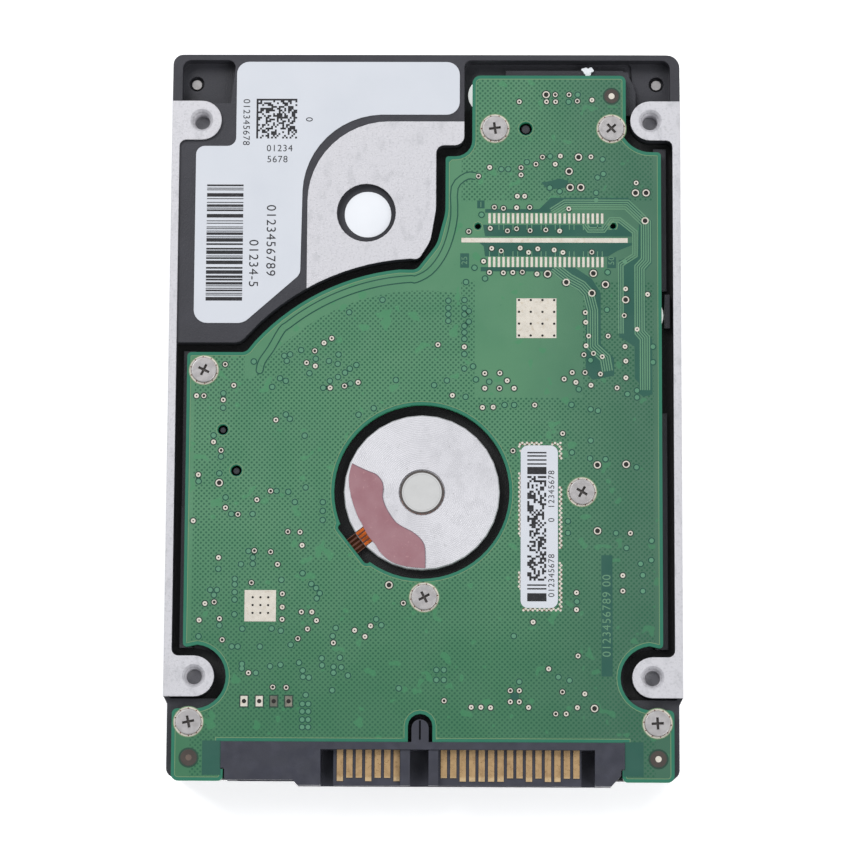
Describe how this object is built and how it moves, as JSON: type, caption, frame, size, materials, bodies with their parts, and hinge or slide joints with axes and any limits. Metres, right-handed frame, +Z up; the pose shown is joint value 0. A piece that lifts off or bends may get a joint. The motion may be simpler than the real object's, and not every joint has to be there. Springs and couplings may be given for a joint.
{
  "type": "hard disk drive",
  "caption": "2.5-inch laptop hard disk drive with a SATA connector, lying on its cover with the circuit-board side up.",
  "frame": {"origin": "on the surface that the cover lies on, midway across, 36.175 mm towards the far end from the near pair of mounting holes; that is 0.45 mm towards the far end from the exact middle of the bounding box, because the connector stands out by half a millimetre", "axes": "+Z up through the circuit-board side, +Y from the connector end to the far end, +X to the right seen from above"},
  "size_m": [0.0698, 0.1005, 0.0095],
  "materials": {
    "coated_casting": "die-cast aluminium under a dark grey electrocoat, satin, fine grain",
    "machined_aluminium": "bare machined with fine tool marks",
    "cover_steel": "brushed stainless sheet",
    "screw_steel": "plated screw steel",
    "core_steel": "ground steel",
    "disk_mirror": "polished disk surface",
    "magnet_nickel": "nickel-plated magnet",
    "copper_wire": "enamelled copper wire",
    "contact_gold": "thin gold plating",
    "board_green": "green solder mask over copper, silver vias",
    "connector_plastic": "dark glass-filled plastic",
    "chip_epoxy": "moulded epoxy",
    "inner_plastic": "unfilled engineering plastic",
    "gasket_rubber": "matte elastomer",
    "foam_sheet": "matte insulating foam",
    "label_film": "printed polyester label, bluish white",
    "seal_film": "white adhesive seal",
    "flex_film": "polyimide film with copper tracks"
  },
  "bodies": {
    "chassis": {"base_casting": "coated_casting", "base_label": "label_film", "bearing_sleeve": "copper_wire", "board_insulator": "foam_sheet", "board_label": "label_film", "board_screw_1": "screw_steel", "board_screw_2": "screw_steel", "board_screw_3": "screw_steel", "board_screw_4": "screw_steel", "board_screw_5": "screw_steel", "board_screw_6": "screw_steel", "board_screw_7": "screw_steel", "board_side_yoke": "core_steel", "breather_seal": "seal_film", "circuit_board": "board_green", "connector_housing": "connector_plastic", "controller_chip": "chip_epoxy", "cover_gasket": "gasket_rubber", "cover_label": "label_film", "cover_screw_1": "screw_steel", "cover_screw_2": "screw_steel", "cover_screw_3": "screw_steel", "cover_screw_4": "screw_steel", "cover_screw_5": "screw_steel", "cover_screw_6": "screw_steel", "cover_side_yoke": "core_steel", "flex_cable": "flex_film", "head_connector": "inner_plastic", "jumper_pins": "contact_gold", "load_ramp": "inner_plastic", "memory_chip": "chip_epoxy", "motor_base": "machined_aluminium", "motor_driver_chip": "chip_epoxy", "motor_end_cap": "core_steel", "motor_flex": "flex_film", "pivot_screw": "screw_steel", "pivot_seal": "seal_film", "pivot_shaft": "core_steel", "power_contacts": "contact_gold", "servo_port_seal": "seal_film", "signal_contacts": "contact_gold", "stator_core": "core_steel", "stator_windings": "copper_wire", "top_cover": "cover_steel", "voice_magnet": "magnet_nickel"},
    "rotor": {"spindle_shaft": "core_steel", "spindle_hub": "machined_aluminium", "rotor_magnet": "magnet_nickel", "platter": "disk_mirror", "disk_clamp": "machined_aluminium", "clamp_screw": "screw_steel"},
    "actuator": {"pivot_bearing": "core_steel", "arm_block": "machined_aluminium", "coil_frame": "inner_plastic", "voice_coil": "copper_wire", "suspension_upper": "core_steel", "suspension_lower": "core_steel", "head_upper": "chip_epoxy", "head_lower": "chip_epoxy"},
    "latch": {"actuator_latch": "inner_plastic"}
  },
  "joints": [
    {"name": "spindle_spin", "type": "hinge", "parent": "chassis", "child": "rotor", "pos_m": [-0.0003, -0.011, 0.004], "axis": [0, 0, 1], "continuous": true},
    {"name": "actuator_swing", "type": "hinge", "parent": "chassis", "child": "actuator", "pos_m": [-0.0081, 0.0275, 0.0033], "axis": [0, 0, 1], "range_deg": [-34, 0]},
    {"name": "latch_swing", "type": "hinge", "parent": "chassis", "child": "latch", "pos_m": [-0.024, 0.0175, 0.0034], "axis": [0, 0, 1], "range_deg": [-5, 5]}
  ]
}
